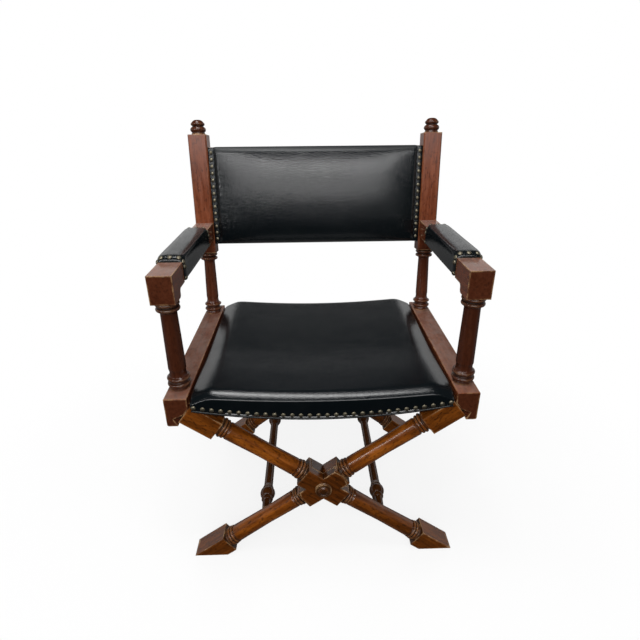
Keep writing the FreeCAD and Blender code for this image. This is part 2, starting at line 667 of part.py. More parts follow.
def make_back():
    """Padded back between the posts, in the plane of their rake."""
    half = rail_x - post_w / 2 - soft_gap
    up = back_up / math.cos(rake)
    tall = back_tall / math.cos(rake)
    front = -post_w / 2
    strip = front + strip_set
    pad = half - strip_w
    crest = strip - back_edge
    inner = pad - back_roll
    rear = strip + strip_t
    deep = strip + back_thick
    core = half - back_batten_t
    rise = back_crown - back_edge
    turn = math.asin(2 * inner * rise / (inner ** 2 + rise ** 2))
    away = V(-back_roll, back_edge, 0)
    inward = V(math.sin(turn), math.cos(turn), 0)
    roll_r = away.Length ** 2 / (2 * away.dot(inward))
    hub = V(-inner, crest, 0) + inward * roll_r
    bend = hub + (away * 0.5 - inward * roll_r).normalize() * roll_r
    bend_r = V(-bend.x, bend.y, 0)
    edges = [Part.makeLine(V(-half, rear, 0), V(-half, strip, 0)),
             Part.makeLine(V(-half, strip, 0), V(-pad, strip, 0)),
             Part.Arc(V(-pad, strip, 0), bend, V(-inner, crest, 0)).toShape(),
             Part.Arc(V(-inner, crest, 0), V(0, strip - back_crown, 0), V(inner, crest, 0)).toShape(),
             Part.Arc(V(inner, crest, 0), bend_r, V(pad, strip, 0)).toShape(),
             Part.makeLine(V(pad, strip, 0), V(half, strip, 0)),
             Part.makeLine(V(half, strip, 0), V(half, rear, 0)),
             Part.makeLine(V(half, rear, 0), V(core, rear, 0)),
             Part.makeLine(V(core, rear, 0), V(core, deep, 0)),
             Part.makeLine(V(core, deep, 0), V(-core, deep, 0)),
             Part.makeLine(V(-core, deep, 0), V(-core, rear, 0)),
             Part.makeLine(V(-core, rear, 0), V(-half, rear, 0))]
    slab = Part.Face(Part.Wire(edges)).extrude(V(0, 0, tall)).Solids[0]
    nose = strip - back_crown - 1
    lead = back_round * (1 - math.sqrt(0.5))
    sweep = (strip - nose) * (1 - math.sqrt(0.5))
    side = [Part.makeLine(V(-half, deep, 0), V(-half, strip, 0)),
            Part.Arc(V(-half, strip, 0), V(-half, nose + sweep, lead), V(-half, nose, back_round)).toShape(),
            Part.makeLine(V(-half, nose, back_round), V(-half, nose, tall - back_round)),
            Part.Arc(V(-half, nose, tall - back_round), V(-half, nose + sweep, tall - lead),
                     V(-half, strip, tall)).toShape(),
            Part.makeLine(V(-half, strip, tall), V(-half, deep, tall)),
            Part.makeLine(V(-half, deep, tall), V(-half, deep, 0))]
    cushion = one(slab.common(Part.Face(Part.Wire(side)).extrude(V(2 * half, 0, 0))))
    lining = box(-core, core, deep + sling_gap, deep + sling_gap + lining_t, 0, tall)
    batten = box(core + soft_gap, half + soft_gap, rear + soft_gap, rear + soft_gap + back_batten_t, 0, tall)
    nails = []
    count = int((tall - 2 * back_nail_end) / back_nail_pitch) + 1
    for k in range(count):
        z = tall / 2 + (k - (count - 1) / 2) * back_nail_pitch
        nails.append(nail(V(half - back_nail_in, strip, z), V(0, -1, 0)))
    for shape in [cushion, lining, batten] + nails:
        shape.translate(V(0, 0, up))
    save("back_cushion", lean(cushion))
    save("back_lining", lean(lining))
    save("back_batten_right", lean(batten))
    save("back_batten_left", flip_x(lean(batten)))
    save("back_nails_right", *[lean(n) for n in nails])
    save("back_nails_left", *[flip_x(lean(n)) for n in nails])


def main():
    make_legs()
    make_stretchers()
    make_pivots()
    make_rails()
    square, tenon_z = make_posts()
    make_arms(square, tenon_z)
    make_seat()
    make_back()
    os.makedirs("parts", exist_ok=True)
    for name, shape in nodes.items():
        if not shape.isValid():
            print("not valid:", name)
        shape.exportStep("parts/" + name + ".step")
    print(len(nodes), "nodes, depth", round(rear_most - front_most, 2))


main()
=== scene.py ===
import json
import math
import bpy
import numpy as np
from mathutils import Matrix, Vector


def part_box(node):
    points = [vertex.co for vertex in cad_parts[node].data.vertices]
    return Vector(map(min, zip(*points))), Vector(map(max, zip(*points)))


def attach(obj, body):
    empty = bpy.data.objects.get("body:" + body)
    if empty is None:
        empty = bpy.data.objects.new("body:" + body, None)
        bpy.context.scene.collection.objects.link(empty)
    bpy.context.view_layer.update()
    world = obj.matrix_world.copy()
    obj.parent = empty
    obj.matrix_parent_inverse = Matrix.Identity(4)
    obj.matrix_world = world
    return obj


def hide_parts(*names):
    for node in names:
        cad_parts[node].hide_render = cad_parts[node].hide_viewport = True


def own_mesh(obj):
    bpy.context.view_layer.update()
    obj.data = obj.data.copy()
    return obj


bl_info = {
    "name": "Directors chair",
    "version": (1, 0, 0),
    "blender": (4, 5, 0),
    "location": "3D View > Sidebar > Chair",
    "description": "Dresses a folding directors chair in stained wood, black leather and bronze nails",
    "category": "Object",
}

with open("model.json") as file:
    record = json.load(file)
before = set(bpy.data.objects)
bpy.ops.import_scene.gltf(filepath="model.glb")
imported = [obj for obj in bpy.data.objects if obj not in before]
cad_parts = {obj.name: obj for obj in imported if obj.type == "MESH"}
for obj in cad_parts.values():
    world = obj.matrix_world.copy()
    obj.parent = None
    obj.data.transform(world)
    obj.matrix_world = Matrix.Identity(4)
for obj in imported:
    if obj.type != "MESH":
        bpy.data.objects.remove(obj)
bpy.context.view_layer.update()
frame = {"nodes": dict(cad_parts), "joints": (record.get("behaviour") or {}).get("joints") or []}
nodes = frame["nodes"]
seat_low, seat_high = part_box("seat_cushion")
rail_low, rail_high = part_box("rail_right")
pad_low, pad_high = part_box("arm_pad_right")
fold_joint = next(j for j in frame["joints"] if j["name"] == "fold")
cross_joint = next(j for j in frame["joints"] if j["name"] == "crossing_hinge")

# the fold, read from the joints
crossing = Vector(cross_joint["pos_m"])
hinge = Vector(fold_joint["pos_m"])
leg_tilt = math.atan2(hinge.z - crossing.z, -hinge.x)
leg_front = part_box("leg_front_b")[0].y
leg_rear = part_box("leg_rear_b")[1].y
LEG_HALF = 0.022
LEG_BAND = 0.046
LEG_CLEAR = 0.0012

# the leaning frame of the back posts
POST_IN = 0.0435
BACK_RISE = 0.184
BACK_HEIGHT = 0.229
BACK_DEPTH = 0.020
BATTEN_IN = 0.018
SIDE_GAP = 0.0005
post_rake = math.radians(6.35)
post_base = Vector((0.0, rail_high.y - POST_IN, rail_high.z))
lean = Matrix.Translation(post_base) @ Matrix.Rotation(-post_rake, 4, "X")
back_half = rail_low.x - SIDE_GAP
back_up = BACK_RISE / math.cos(post_rake)
back_tall = BACK_HEIGHT / math.cos(post_rake)
strip_face = -0.018
strip_width = 0.013
pad_rear = strip_face + BACK_DEPTH
core_half = back_half - BATTEN_IN

# the nail rows of the seat
FRONT_NAIL_IN = 0.0125
REAR_NAIL_IN = 0.022
NAIL_UP = 0.007

# how far back the front roll of the seat reaches, as a share of the seat's depth
CREST_TO = 0.40

# rounded corners and sides of the seat: how far they go in or down, and over what width
FRONT_CORNER = (0.005, 0.012)
REAR_CORNER = (0.007, 0.016)
SIDE_ROUND = (0.004, 0.006)
BEVEL_SOFT = 0.008

# the back: height of its fullest part as a share of its height, how round its crown is,
# the widths of its rounded edges, and the pitch of its nails
BULGE_AT = 0.36
CROWN_ROUND = 0.75
BACK_END_ROUND = 0.010
BACK_SIDE_ROUND = 0.009
BACK_NAIL_PITCH = 0.0158

# arm pads: height of the widest part as a share of the pad's height, distance of the nails from
# the ends, and their places round the pad in half turns
ARM_WAIST = 0.34
ARM_NAIL_IN = 0.0052
ARM_NAIL_TURNS = (0.16, 0.05, -0.11, 0.38, 0.5, 0.62, 0.84, 0.95, 1.11)

# a nail head from rim to tip, as shares of its radius and height
NAIL_PROFILE = ((1.0, -0.15), (1.0, 0.10), (0.93, 0.36), (0.78, 0.64), (0.54, 0.86), (0.27, 0.97))
NAIL_SIDES = 14

# frames for which the stuffing presses on a cover
PRESS_FRAMES = 20

# cells of leather grain in a metre
GRAIN_CELLS = 480.0

# tone and painted shade along a leg from the crossing, and how far to each side it runs
LEG_RUN = 0.40

# place, aim and size of each soft light
LAMPS = {
    "key": ((-0.08, -2.05, 1.90), (0, 0.15, 0.80), (2.2, 0.42)),
    "front": ((-0.08, -2.15, 1.38), (0, 0.15, 0.80), (2.2, 0.55)),
    "side": ((-1.75, -1.55, 1.45), (0, 0, 0.35), (0.35, 0.9)),
    "top": ((-0.15, -0.25, 2.30), (0, -0.1, 0.4), (1.3, 0.35)),
    "rear": ((0.7, 2.3, 1.45), (0, 0, 0.5), (1.8, 1.2)),
}

# brightness of the studio in reflections, from straight down at 0 to straight up at 1
REFLECTED = ((0.0, 0.12), (0.37, 0.12), (0.45, 0.40), (0.53, 0.50), (0.57, 0.95),
             (0.635, 0.95), (0.66, 0.25), (0.69, 0.08), (0.74, 0.03), (1.0, 0.03))


class ChairFinish(bpy.types.PropertyGroup):
    """Colours of the wood, leather and nails."""

    # the dark colours are the stain in the grain, and also what painted shade is mixed towards
    leg_dark: bpy.props.FloatVectorProperty(
        name="Leg dark", description="Stain in the grain of the legs", subtype="COLOR",
        size=4, default=(0.020, 0.0068, 0.0022, 1))
    leg_mid: bpy.props.FloatVectorProperty(
        name="Leg mid", description="Usual colour of the legs", subtype="COLOR",
        size=4, default=(0.130, 0.031, 0.0028, 1))
    leg_light: bpy.props.FloatVectorProperty(
        name="Leg light", description="Palest streaks of the legs", subtype="COLOR",
        size=4, default=(0.37, 0.107, 0.0090, 1))
    post_dark: bpy.props.FloatVectorProperty(
        name="Post dark", description="Stain in the grain of posts, arms and rails", subtype="COLOR",
        size=4, default=(0.024, 0.0070, 0.0036, 1))
    post_mid: bpy.props.FloatVectorProperty(
        name="Post mid", description="Usual colour of posts, arms and rails", subtype="COLOR",
        size=4, default=(0.108, 0.0250, 0.0085, 1))
    post_light: bpy.props.FloatVectorProperty(
        name="Post light", description="Palest streaks of posts, arms and rails", subtype="COLOR",
        size=4, default=(0.205, 0.0540, 0.0200, 1))
    worn_edge: bpy.props.FloatVectorProperty(
        name="Worn edge", description="Bare wood where edges are rubbed", subtype="COLOR",
        size=4, default=(0.42, 0.25, 0.12, 1))
    # dust and painted sheen: the pale grey laid over upward faces of arms and rails
    dust_and_sheen: bpy.props.FloatVectorProperty(
        name="Dust", description="Dull bloom on the upper faces of arms and rails", subtype="COLOR",
        size=4, default=(0.27, 0.215, 0.185, 1))
    leather: bpy.props.FloatVectorProperty(
        name="Leather", description="Face of the leather", subtype="COLOR",
        size=4, default=(0.0026, 0.0044, 0.0056, 1))
    leather_worn: bpy.props.FloatVectorProperty(
        name="Worn leather", description="Leather where it is rubbed or dusty", subtype="COLOR",
        size=4, default=(0.0050, 0.0070, 0.0082, 1))
    nail: bpy.props.FloatVectorProperty(
        name="Nail", description="Bright part of a nail head", subtype="COLOR",
        size=4, default=(0.21, 0.188, 0.135, 1))
    nail_dark: bpy.props.FloatVectorProperty(
        name="Nail tarnish", description="Tarnish on a nail head", subtype="COLOR",
        size=4, default=(0.055, 0.049, 0.036, 1))


class ChairSoft(bpy.types.PropertyGroup):
    """Sizes of the soft pieces."""

    pressure: bpy.props.FloatProperty(
        name="Pressure", description="How hard the stuffing presses", default=4.0)
    seat_dip: bpy.props.FloatProperty(
        name="Seat dip", description="How far the top of the seat dips in the middle",
        default=0.015, unit="LENGTH")
    lip_dip: bpy.props.FloatProperty(
        name="Lip dip", description="How far its lower edge dips in the middle",
        default=0.025, unit="LENGTH")
    seat_bevel: bpy.props.FloatProperty(
        name="Side bevel", description="Width of the sloping sides of the seat",
        default=0.040, unit="LENGTH")
    seat_slope: bpy.props.FloatProperty(
        name="Side slope", description="Fall of the sloping sides for their width", default=0.55)
    seat_front_turn: bpy.props.FloatProperty(
        name="Front turn", description="Radius of the front edge of the seat, low down",
        default=0.005, unit="LENGTH")
    seat_front_roll: bpy.props.FloatProperty(
        name="Front roll", description="Radius of the front edge of the seat, near its top",
        default=0.036, unit="LENGTH")
    seat_crest: bpy.props.FloatProperty(
        name="Front crest", description="How far the front roll stands above the seat behind it",
        default=0.005, unit="LENGTH")
    seat_rear_rise: bpy.props.FloatProperty(
        name="Rear rise", description="How far the seat rises towards the back",
        default=0.006, unit="LENGTH")
    seat_rear_roll: bpy.props.FloatProperty(
        name="Rear roll", description="Radius of the rear edge of the seat",
        default=0.012, unit="LENGTH")
    arm_end: bpy.props.FloatProperty(
        name="Arm pad end", description="Length over which an arm pad swells from its nailed end",
        default=0.017, unit="LENGTH")
    arm_rise: bpy.props.FloatProperty(
        name="Arm pad rise", description="How far an arm pad swells upward",
        default=0.0115, unit="LENGTH")
    arm_full: bpy.props.FloatProperty(
        name="Arm pad fullness", description="How far an arm pad swells to each side",
        default=0.0052, unit="LENGTH")
    arm_lean: bpy.props.FloatProperty(
        name="Arm pad lean", description="How far the swell of an arm pad lies outward",
        default=0.0012, unit="LENGTH")
    arm_square: bpy.props.FloatProperty(
        name="Arm pad squareness", description="Smaller is squarer, 1 is an ellipse", default=0.44)
    back_crown: bpy.props.FloatProperty(
        name="Back crown", description="How far the middle of the back stands proud of its edge",
        default=0.021, unit="LENGTH")
    back_edge: bpy.props.FloatProperty(
        name="Back edge", description="Thickness of the back at its rolled edge",
        default=0.008, unit="LENGTH")
    nail_radius: bpy.props.FloatProperty(
        name="Nail radius", description="Radius of a nail head", default=0.0048, unit="LENGTH")
    nail_height: bpy.props.FloatProperty(
        name="Nail height", description="Height of a nail head", default=0.0026, unit="LENGTH")
    nail_pitch: bpy.props.FloatProperty(
        name="Nail pitch", description="Distance between the nails of the seat",
        default=0.0169, unit="LENGTH")


class ChairStage(bpy.types.PropertyGroup):
    """Camera and studio light."""

    lens: bpy.props.FloatProperty(
        name="Lens", description="Focal length on a 36 mm sensor, in millimetres", default=25.89)
    camera_place: bpy.props.FloatVectorProperty(
        name="Camera", description="Where the camera stands", subtype="XYZ",
        default=(-0.0225, -0.9719, 0.9242))
    yaw: bpy.props.FloatProperty(
        name="Yaw", description="Turn of the camera to the left", default=-0.0247, subtype="ANGLE")
    pitch: bpy.props.FloatProperty(
        name="Pitch", description="How far the camera looks down", default=0.4326, subtype="ANGLE")
    roll: bpy.props.FloatProperty(
        name="Roll", description="Lean of the camera", default=0.0082, subtype="ANGLE")
    key_power: bpy.props.FloatProperty(
        name="Key", description="Power of the soft light in front", default=26.0, unit="POWER")
    front_power: bpy.props.FloatProperty(
        name="Front", description="Power of the low soft light in front", default=12.5, unit="POWER")
    rear_power: bpy.props.FloatProperty(
        name="Rear", description="Power of the soft light behind", default=20.0, unit="POWER")
    top_power: bpy.props.FloatProperty(
        name="Top", description="Power of the soft light overhead", default=24.0, unit="POWER")
    side_power: bpy.props.FloatProperty(
        name="Side", description="Power of the narrow light on the left", default=11.0, unit="POWER")
    fill: bpy.props.FloatProperty(
        name="Fill", description="Even light from all round", default=0.18)


class Shade:
    """Adds nodes to a material or world, and joins them."""

    def __init__(self, owner):
        owner.use_nodes = True
        self.tree = owner.node_tree
        self.tree.nodes.clear()

    def put(self, socket, value):
        if isinstance(value, bpy.types.NodeSocket):
            self.tree.links.new(value, socket)
        else:
            socket.default_value = value

    def add(self, kind, settings=None, **sockets):
        node = self.tree.nodes.new("ShaderNode" + kind)
        for key, value in (settings or {}).items():
            setattr(node, key, value)
        for name, value in sockets.items():
            self.put(node.inputs[name.replace("_", " ")], value)
        return node

    def calc(self, operation, *values):
        node = self.add("Math", {"operation": operation})
        for socket, value in zip(node.inputs, values):
            self.put(socket, value)
        return node.outputs[0]

    def mix(self, share, low, high):
        node = self.add("Mix", {"data_type": "RGBA"})
        self.put(node.inputs[0], share)
        self.put(node.inputs[6], low)
        self.put(node.inputs[7], high)
        return node.outputs[2]

    def span(self, value, low, high, to_low=0.0, to_high=1.0):
        node = self.add("MapRange", {"interpolation_type": "SMOOTHSTEP"}, Value=value)
        node.inputs["From Min"].default_value = low
        node.inputs["From Max"].default_value = high
        node.inputs["To Min"].default_value = to_low
        node.inputs["To Max"].default_value = to_high
        return node.outputs[0]

    def noise(self, vector, scale, detail=3.0, rough=0.5):
        node = self.add("TexNoise", Vector=vector, Scale=scale, Detail=detail, Roughness=rough)
        return node.outputs["Fac"]

    def place(self, origin=(0, 0, 0), turn=(0, 0, 0), stretch=(1, 1, 1), vector=None):
        """Coordinates of the piece, from an origin, along turned axes, stretched."""
        if vector is None:
            vector = self.add("TexCoord").outputs["Object"]
        node = self.add("Mapping", {"vector_type": "TEXTURE"}, Vector=vector)
        node.inputs["Location"].default_value = origin
        node.inputs["Rotation"].default_value = turn
        node.inputs["Scale"].default_value = stretch
        return node.outputs[0]

    def ramp(self, value, stops):
        node = self.add("ValToRGB", Fac=value)
        bar = node.color_ramp.elements
        while len(bar) < len(stops):
            bar.new(0.5)
        for mark, (at, level) in zip(bar, stops):
            mark.position = at
            mark.color = (level, level, level, 1)
        return node.outputs[0]

    def bump(self, height, strength, distance, under=None):
        node = self.add("Bump", Height=height, Strength=strength, Distance=distance)
        if under is not None:
            self.put(node.inputs["Normal"], under)
        return node.outputs[0]

    def surface(self, **sockets):
        shader = self.add("BsdfPrincipled", **sockets)
        out = self.add("OutputMaterial")
        self.put(out.inputs["Surface"], shader.outputs[0])


GRAIN_Y = (0.0, 0.0, math.pi / 2)
GRAIN_UP = (0.0, -math.pi / 2, 0.0)
GRAIN_RAKED = (0.0, -(math.pi / 2 - post_rake), math.pi / 2)
GRAIN_LEG_A = (0.0, math.pi + leg_tilt, 0.0)
GRAIN_LEG_B = (0.0, -leg_tilt, 0.0)


def leg_tone_and_shade(shade, along, lower):
    """Pale shafts, darker feet and collars, and a crossing painted dark for shade, along a leg."""
    # painted shade: the low levels either side of 0 darken the crossing where the blocks shade each
    # other
    marks = [(-LEG_RUN, 0.30), (-0.266, 0.34), (-0.238, 0.5 * lower), (-0.215, 0.9 * lower),
             (-0.10, lower), (-0.070, 0.38), (-0.05, 0.10), (0.05, 0.10), (0.070, 0.42), (0.10, 0.95),
             (0.215, 0.95), (0.238, 0.42), (0.262, 0.44), (LEG_RUN, 0.54)]
    at = shade.span(along, -LEG_RUN, LEG_RUN)
    at.node.interpolation_type = "LINEAR"
    return shade.ramp(at, [((s + LEG_RUN) / (2 * LEG_RUN), level) for s, level in marks])


def wood(name, colours, turn, origin=(0, 0, 0), leg_lower=None, tone_and_painted_shade=0.0, dusty=0.0,
         painted_shade_below=None):
    """Stained, varnished wood: streaks, pores, mottling, dirt and painted shade in hollows, rubbed
    edges.
    """
    finish = bpy.context.scene.chair_finish
    material = bpy.data.materials.new(name)
    shade = Shade(material)
    dark, mid, light = colours
    plain = shade.place(origin, turn)
    long = shade.place(stretch=(9.0, 1.0, 1.0), vector=plain)
    streak = shade.noise(long, 150.0, 4.0, 0.6)
    fine = shade.noise(long, 620.0, 3.0, 0.55)
    broad = shade.noise(plain, 9.0, 2.0, 0.5)
    mottle = shade.noise(shade.place(stretch=(2.2, 1.0, 1.0), vector=plain), 210.0, 3.0, 0.6)
    tone = shade.calc("ADD", shade.span(streak, 0.32, 0.70, 0.0, 0.62),
                      shade.span(broad, 0.30, 0.72, -0.10, 0.30))
    colour = shade.mix(tone, mid[:], light[:])
    if leg_lower:
        along = shade.add("SeparateXYZ", Vector=plain).outputs[0]
        level = leg_tone_and_shade(shade, along, leg_lower)
        colour = shade.mix(level, shade.mix(shade.span(streak, 0.3, 0.7, 0.2, 0.75), dark[:], mid[:]),
                           colour)
    # painted shade: below the given height (the underside of the arms) the piece goes darker
    elif painted_shade_below:
        height = shade.add("SeparateXYZ", Vector=shade.place()).outputs[2]
        below = shade.span(height, painted_shade_below - 0.02, painted_shade_below, tone_and_painted_shade, 0.0)
        colour = shade.mix(below, colour, dark[:])
    # darker tone and painted shade: the whole piece is mixed towards the dark colour by a fixed share
    elif tone_and_painted_shade:
        colour = shade.mix(tone_and_painted_shade, colour, dark[:])
    facing = shade.add("TexCoord").outputs["Normal"]
    along_grain = shade.add("SeparateXYZ", Vector=shade.place(turn=turn, vector=facing)).outputs[0]
    end_grain = shade.span(shade.calc("ABSOLUTE", along_grain), 0.80, 0.97, 0.0, 0.66)
    colour = shade.mix(end_grain, colour, dark[:])
    flecks = shade.span(mottle, 0.52, 0.68, 0.0, 0.66 if leg_lower else 0.50)
    colour = shade.mix(flecks, colour, dark[:])
    pores = shade.span(fine, 0.60, 0.72, 0.0, 0.65)
    colour = shade.mix(pores, colour, dark[:])
    # dust and painted sheen: faces that point up are mixed towards a pale grey, in patches
    if dusty:
        up = shade.add("SeparateXYZ", Vector=facing).outputs[2]
        patches = shade.span(shade.noise(plain, 34.0, 4.0, 0.6), 0.30, 0.70, 0.45, 1.0)
        dust_and_sheen = shade.calc("MULTIPLY", shade.span(up, 0.75, 0.98, 0.0, dusty), patches)
        colour = shade.mix(dust_and_sheen, colour, finish.dust_and_sheen[:])
    # painted shade with some dirt: colour goes towards near black where ambient occlusion finds hollows
    # and gaps between parts, and these places are rougher
    hollow = shade.add("AmbientOcclusion", {"samples": 6, "only_local": True}, Distance=0.010)
    hollow_darkening = shade.span(hollow.outputs["AO"], 0.45, 0.93, 0.78, 0.0)
    colour = shade.mix(hollow_darkening, colour, (0.010, 0.005, 0.003, 1))
    rim = shade.add("AmbientOcclusion", {"samples": 6, "inside": True, "only_local": True},
                    Distance=0.0036)
    patchy = shade.noise(plain, 55.0, 3.0, 0.6)
    rub = shade.calc("MULTIPLY", shade.span(rim.outputs["AO"], 0.90, 0.55, 0.0, 1.0),
                     shade.span(patchy, 0.40, 0.62, 0.10, 0.90))
    colour = shade.mix(rub, colour, finish.worn_edge[:])
    scratch = shade.noise(shade.place(stretch=(1.0, 14.0, 3.0), vector=plain), 330.0, 2.0, 0.5)
    nick = shade.calc("MULTIPLY", shade.span(scratch, 0.755, 0.80, 0.0, 0.5),
                      shade.span(patchy, 0.50, 0.62))
    colour = shade.mix(nick, colour, finish.worn_edge[:])
    rough = shade.calc("ADD", shade.span(streak, 0.3, 0.7, 0.17, 0.26),
                       shade.calc("MULTIPLY", hollow_darkening, 0.25))
    relief = shade.calc("ADD", shade.calc("MULTIPLY", streak, 0.5),
                        shade.calc("MULTIPLY", pores, -0.6))
    soft_edge = shade.add("Bevel", {"samples": 6}, Radius=0.0014).outputs[0]
    normal = shade.bump(relief, 0.09, 0.0006, soft_edge)
    shade.surface(Base_Color=colour, Roughness=rough, Normal=normal, Specular_IOR_Level=0.40)
    return material


def leather(name, fade=1.0, scale=1.0, dull=0.0, dry_above=None, grain=0.17):
    """Black grained leather: pebbled cells, fine creases, a soft uneven gloss."""
    finish = bpy.context.scene.chair_finish
    material = bpy.data.materials.new(name)
    shade = Shade(material)
    plain = shade.place()
    bent = shade.noise(plain, 300.0, 2.0, 0.5)
    cells, seams = [shade.add("TexVoronoi", {"feature": feature}, Vector=plain, Randomness=1.0,
                              Scale=GRAIN_CELLS * scale).outputs["Distance"]
                    for feature in ("F1", "DISTANCE_TO_EDGE")]
    broad = shade.noise(plain, 14.0, 3.0, 0.55)
    rubbed = shade.span(broad, 0.48, 0.74, 0.0, 0.7 * fade)
    colour = shade.mix(rubbed, finish.leather[:], finish.leather_worn[:])
    groove = shade.span(seams, 0.0, 0.10, 0.5, 0.0)
    colour = shade.mix(groove, colour, (0.004, 0.0045, 0.005, 1))
    rough = shade.calc("ADD", shade.span(broad, 0.3, 0.75, 0.13 + dull, 0.18 + dull),
                       shade.span(bent, 0.3, 0.7, 0.0, 0.04))
    pebble = shade.calc("ADD", shade.calc("MULTIPLY", cells, -0.7),
                        shade.span(seams, 0.0, 0.12, 0.0, 0.5))
    normal = shade.bump(pebble, grain, 0.0005)
    ripple = shade.noise(plain, 24.0, 3.0, 0.5)
    normal = shade.bump(ripple, 0.10, 0.004, normal)
    if dry_above is not None:
        height = shade.add("SeparateXYZ", Vector=plain).outputs[2]
        dry = shade.span(height, dry_above - 0.016, dry_above - 0.004, 0.0, 0.35)
        rough = shade.calc("ADD", rough, dry)
    shade.surface(Base_Color=colour, Roughness=rough, Normal=normal, Specular_IOR_Level=0.48)
    return material


def metal(name, bright, tarnish, rough):
    """Aged metal with tarnish in patches and hollows."""
    material = bpy.data.materials.new(name)
    shade = Shade(material)
    plain = shade.place()
    patches = shade.noise(plain, 420.0, 4.0, 0.62)
    hollow = shade.add("AmbientOcclusion", {"samples": 6}, Distance=0.004)
    hollow_darkening = shade.span(hollow.outputs["AO"], 0.20, 0.60, 0.9, 0.0)
    share = shade.calc("MAXIMUM", shade.span(patches, 0.45, 0.70, 0.0, 0.75), hollow_darkening)
    colour = shade.mix(share, bright[:], tarnish[:])
    scratch = shade.noise(plain, 1900.0, 2.0, 0.5)
    normal = shade.bump(scratch, 0.15, 0.0003)
    shade.surface(Base_Color=colour, Metallic=1.0, Normal=normal,
                  Roughness=shade.span(patches, 0.3, 0.7, rough, rough + 0.2))
    return material


def dress(names, material):
    for name in names:
        piece = nodes[name]
        piece.data.materials.clear()
        piece.data.materials.append(material)


def both(*names):
    return [name + side for name in names for side in ("_left", "_right")]


def new_piece(name, points, faces, material):
    mesh = bpy.data.meshes.new(name)
    mesh.from_pydata([tuple(p) for p in points], [], faces)
    mesh.validate()
    mesh.update()
    piece = bpy.data.objects.new(name, mesh)
    bpy.context.scene.collection.objects.link(piece)
    mesh.materials.append(material)
    smooth(piece)
    return piece


def smooth(piece):
    for face in piece.data.polygons:
        face.use_smooth = True


def loft(name, rings, material):
    """Skin over closed rings that have the same number of points, with both ends closed."""
    count = len(rings[0])
    points = [p for ring in rings for p in ring]
    faces = []
    for i in range(len(rings) - 1):
        for j in range(count):
            k = (j + 1) % count
            faces.append((i * count + j, i * count + k, (i + 1) * count + k, (i + 1) * count + j))
    faces.append(tuple(range(count))[::-1])
    last = (len(rings) - 1) * count
    faces.append(tuple(range(last, last + count)))
    return new_piece(name, points, faces, material)


def arc(centre, radius, start, end, steps):
    """Points of an arc in a plane, angles in degrees."""
    turns = np.radians(np.linspace(start, end, steps))
    return [(centre[0] + radius * math.cos(a), centre[1] + radius * math.sin(a)) for a in turns]


def edge_fall(distance, width):
    """0 away from an edge and 1 on it, along a quarter circle."""
    t = min(max(1 - distance / width, 0.0), 1.0)
    return 1 - math.sqrt(max(1 - t * t, 0.0))


def bake(piece):
    """Keep what the modifiers make as the piece's own mesh."""
    bpy.context.view_layer.update()
    graph = bpy.context.evaluated_depsgraph_get()
    made = bpy.data.meshes.new_from_object(piece.evaluated_get(graph))
    piece.modifiers.clear()
    old = piece.data
    piece.data = made
    bpy.data.meshes.remove(old)


def points_of(piece):
    flat = np.zeros(len(piece.data.vertices) * 3, np.float32)
    piece.data.vertices.foreach_get("co", flat)
    return flat.reshape(-1, 3).astype(float)


def set_points(piece, points):
    piece.data.vertices.foreach_set("co", points.astype(np.float32).ravel())
    piece.data.update()


def ease(distance, width):
    """0 on an edge and 1 from a width in, with a soft start and end."""
    t = min(max(distance / width, 0.0), 1.0)
    return t * t * (3 - 2 * t)


def swell(piece, held, cap, fade=None):
    """Let stuffing press the cover outward for a moment, with held points kept in place."""
    soft = bpy.context.scene.chair_soft
    rest = points_of(piece)
    group = piece.vertex_groups.new(name="held")
    group.add([k for k, p in enumerate(rest) if held(p)], 1.0, "REPLACE")
    cloth = piece.modifiers.new("cover", "CLOTH")
    setting = cloth.settings
    setting.quality = 5
    setting.mass = 0.3
    setting.tension_stiffness = 20
    setting.compression_stiffness = 20
    setting.shear_stiffness = 8
    setting.bending_stiffness = 0.6
    setting.vertex_group_mass = "held"
    setting.use_pressure = True
    setting.uniform_pressure_force = soft.pressure
    setting.effector_weights.gravity = 0
    cloth.point_cache.frame_start = 1
    cloth.point_cache.frame_end = PRESS_FRAMES
    scene = bpy.context.scene
    for number in range(1, PRESS_FRAMES + 1):
        scene.frame_set(number)
    made = piece.evaluated_get(bpy.context.evaluated_depsgraph_get())
    flat = np.zeros(len(rest) * 3, np.float32)
    made.data.vertices.foreach_get("co", flat)
    moved = flat.reshape(-1, 3).astype(float) - rest
    piece.modifiers.clear()
    piece.vertex_groups.clear()
    scene.frame_set(1)
    far = np.linalg.norm(moved, axis=1)
    moved *= (cap * np.tanh(far / cap) / np.maximum(far, 1e-9))[:, None]
    if fade:
        moved *= np.array([fade(p) for p in rest])[:, None]
    set_points(piece, rest + moved)


def refine(piece):
    mod = piece.modifiers.new("fine", "SUBSURF")
    mod.levels = 1
    mod.render_levels = 1
    bake(piece)
    smooth(piece)


def seat_sides(x):
    return (x / seat_high.x) ** 2


def seat_underside(x):
    return seat_low.z + bpy.context.scene.chair_soft.lip_dip * seat_sides(x)


def side_fall(edge):
    """How far the top of the seat has fallen at a distance in from its side edge."""
    soft = bpy.context.scene.chair_soft
    past = soft.seat_bevel - edge
    slope = soft.seat_slope * (past + math.hypot(past, BEVEL_SOFT)) / 2
    return slope + SIDE_ROUND[0] * edge_fall(edge, SIDE_ROUND[1])


